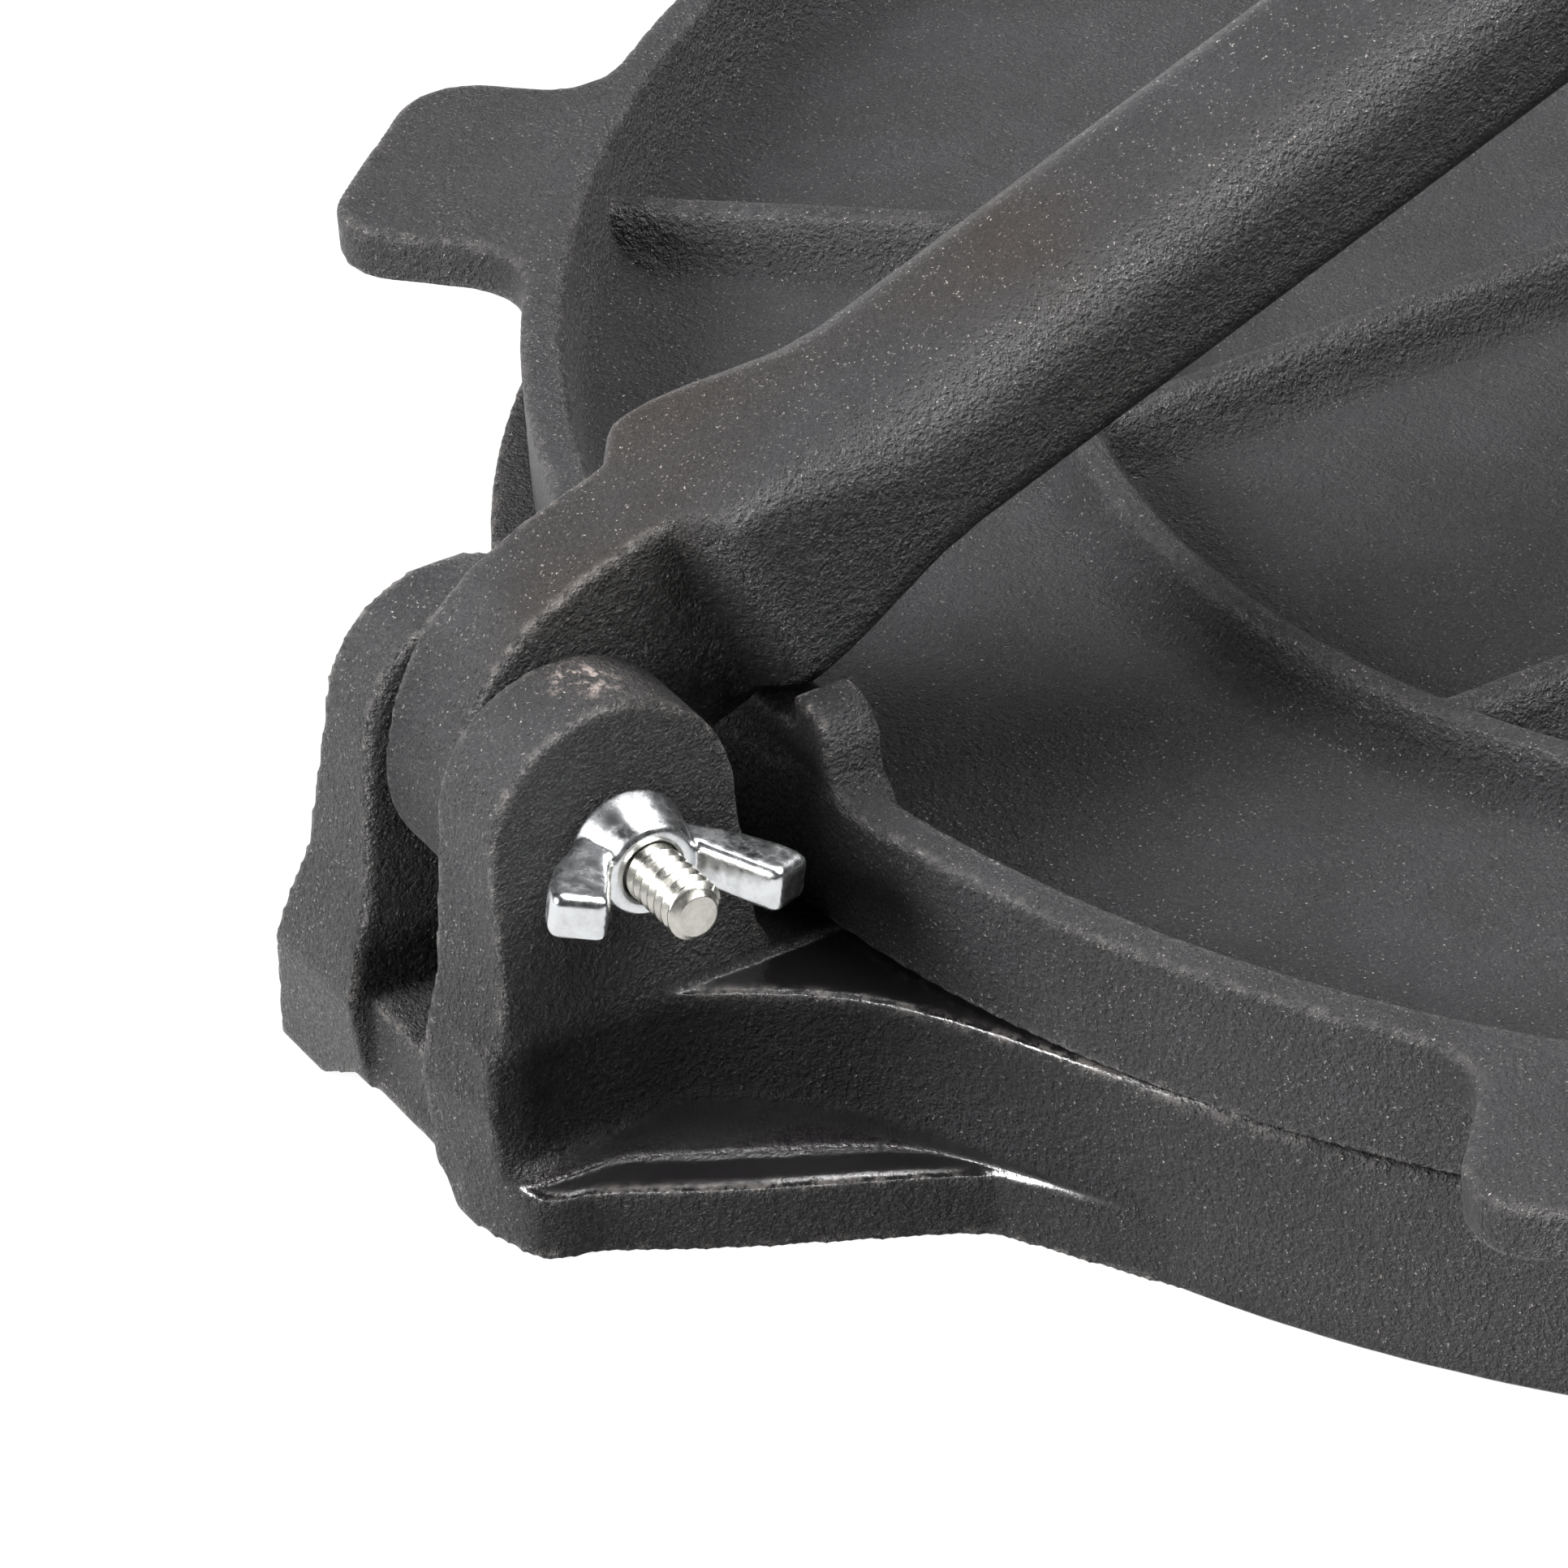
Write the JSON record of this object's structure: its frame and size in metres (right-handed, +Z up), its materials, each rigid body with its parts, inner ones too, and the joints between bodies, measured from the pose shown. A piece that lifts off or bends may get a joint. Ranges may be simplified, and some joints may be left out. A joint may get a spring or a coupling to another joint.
{
  "type": "cast-iron tortilla press",
  "caption": "Round cast-iron press: a hinged, ribbed top plate over a flat base, squeezed by a cam lever in a front clevis with a wing-nut bolt.",
  "frame": {"origin": "on the floor, under the middle of the press's footprint", "axes": "+Z up, +Y towards the plate hinge, -Y towards the lever's clevis, +X towards the wing nuts"},
  "size_m": [0.254, 0.3068, 0.132],
  "materials": {
    "base_iron": "sand-cast and seasoned black",
    "plate_iron": "sand-cast and seasoned black",
    "lever_iron": "sand-cast and seasoned black",
    "bolt_zinc": "zinc-plated, rolled thread",
    "nut_zinc": "bright zinc-plated"
  },
  "bodies": {
    "base": {"base_casting": "base_iron", "lever_bolt": "bolt_zinc", "hinge_bolt": "bolt_zinc"},
    "plate": {"press_plate": "plate_iron"},
    "lever": {"lever_handle": "lever_iron"},
    "lever_nut": {"lever_wing_nut": "nut_zinc"},
    "hinge_nut": {"hinge_wing_nut": "nut_zinc"}
  },
  "joints": [
    {"name": "lever_pivot", "type": "hinge", "parent": "base", "child": "lever", "pos_m": [0, -0.13835, 0.0321], "axis": [1, 0, 0], "range_deg": [0, 150]},
    {"name": "plate_hinge", "type": "hinge", "parent": "base", "child": "plate", "pos_m": [0, 0.14395, 0.0248], "axis": [-1, 0, 0], "range_deg": [0, 10.6]},
    {"name": "lever_nut_turn", "type": "hinge", "parent": "base", "child": "lever_nut", "pos_m": [0.0188, -0.13835, 0.0321], "axis": [1, 0, 0], "continuous": true},
    {"name": "hinge_nut_turn", "type": "hinge", "parent": "base", "child": "hinge_nut", "pos_m": [0.0175, 0.14395, 0.0248], "axis": [1, 0, 0], "continuous": true}
  ],
  "couplings": [
    {"joint": "plate_hinge", "follows": "lever_pivot", "ratio": 0.07}
  ]
}
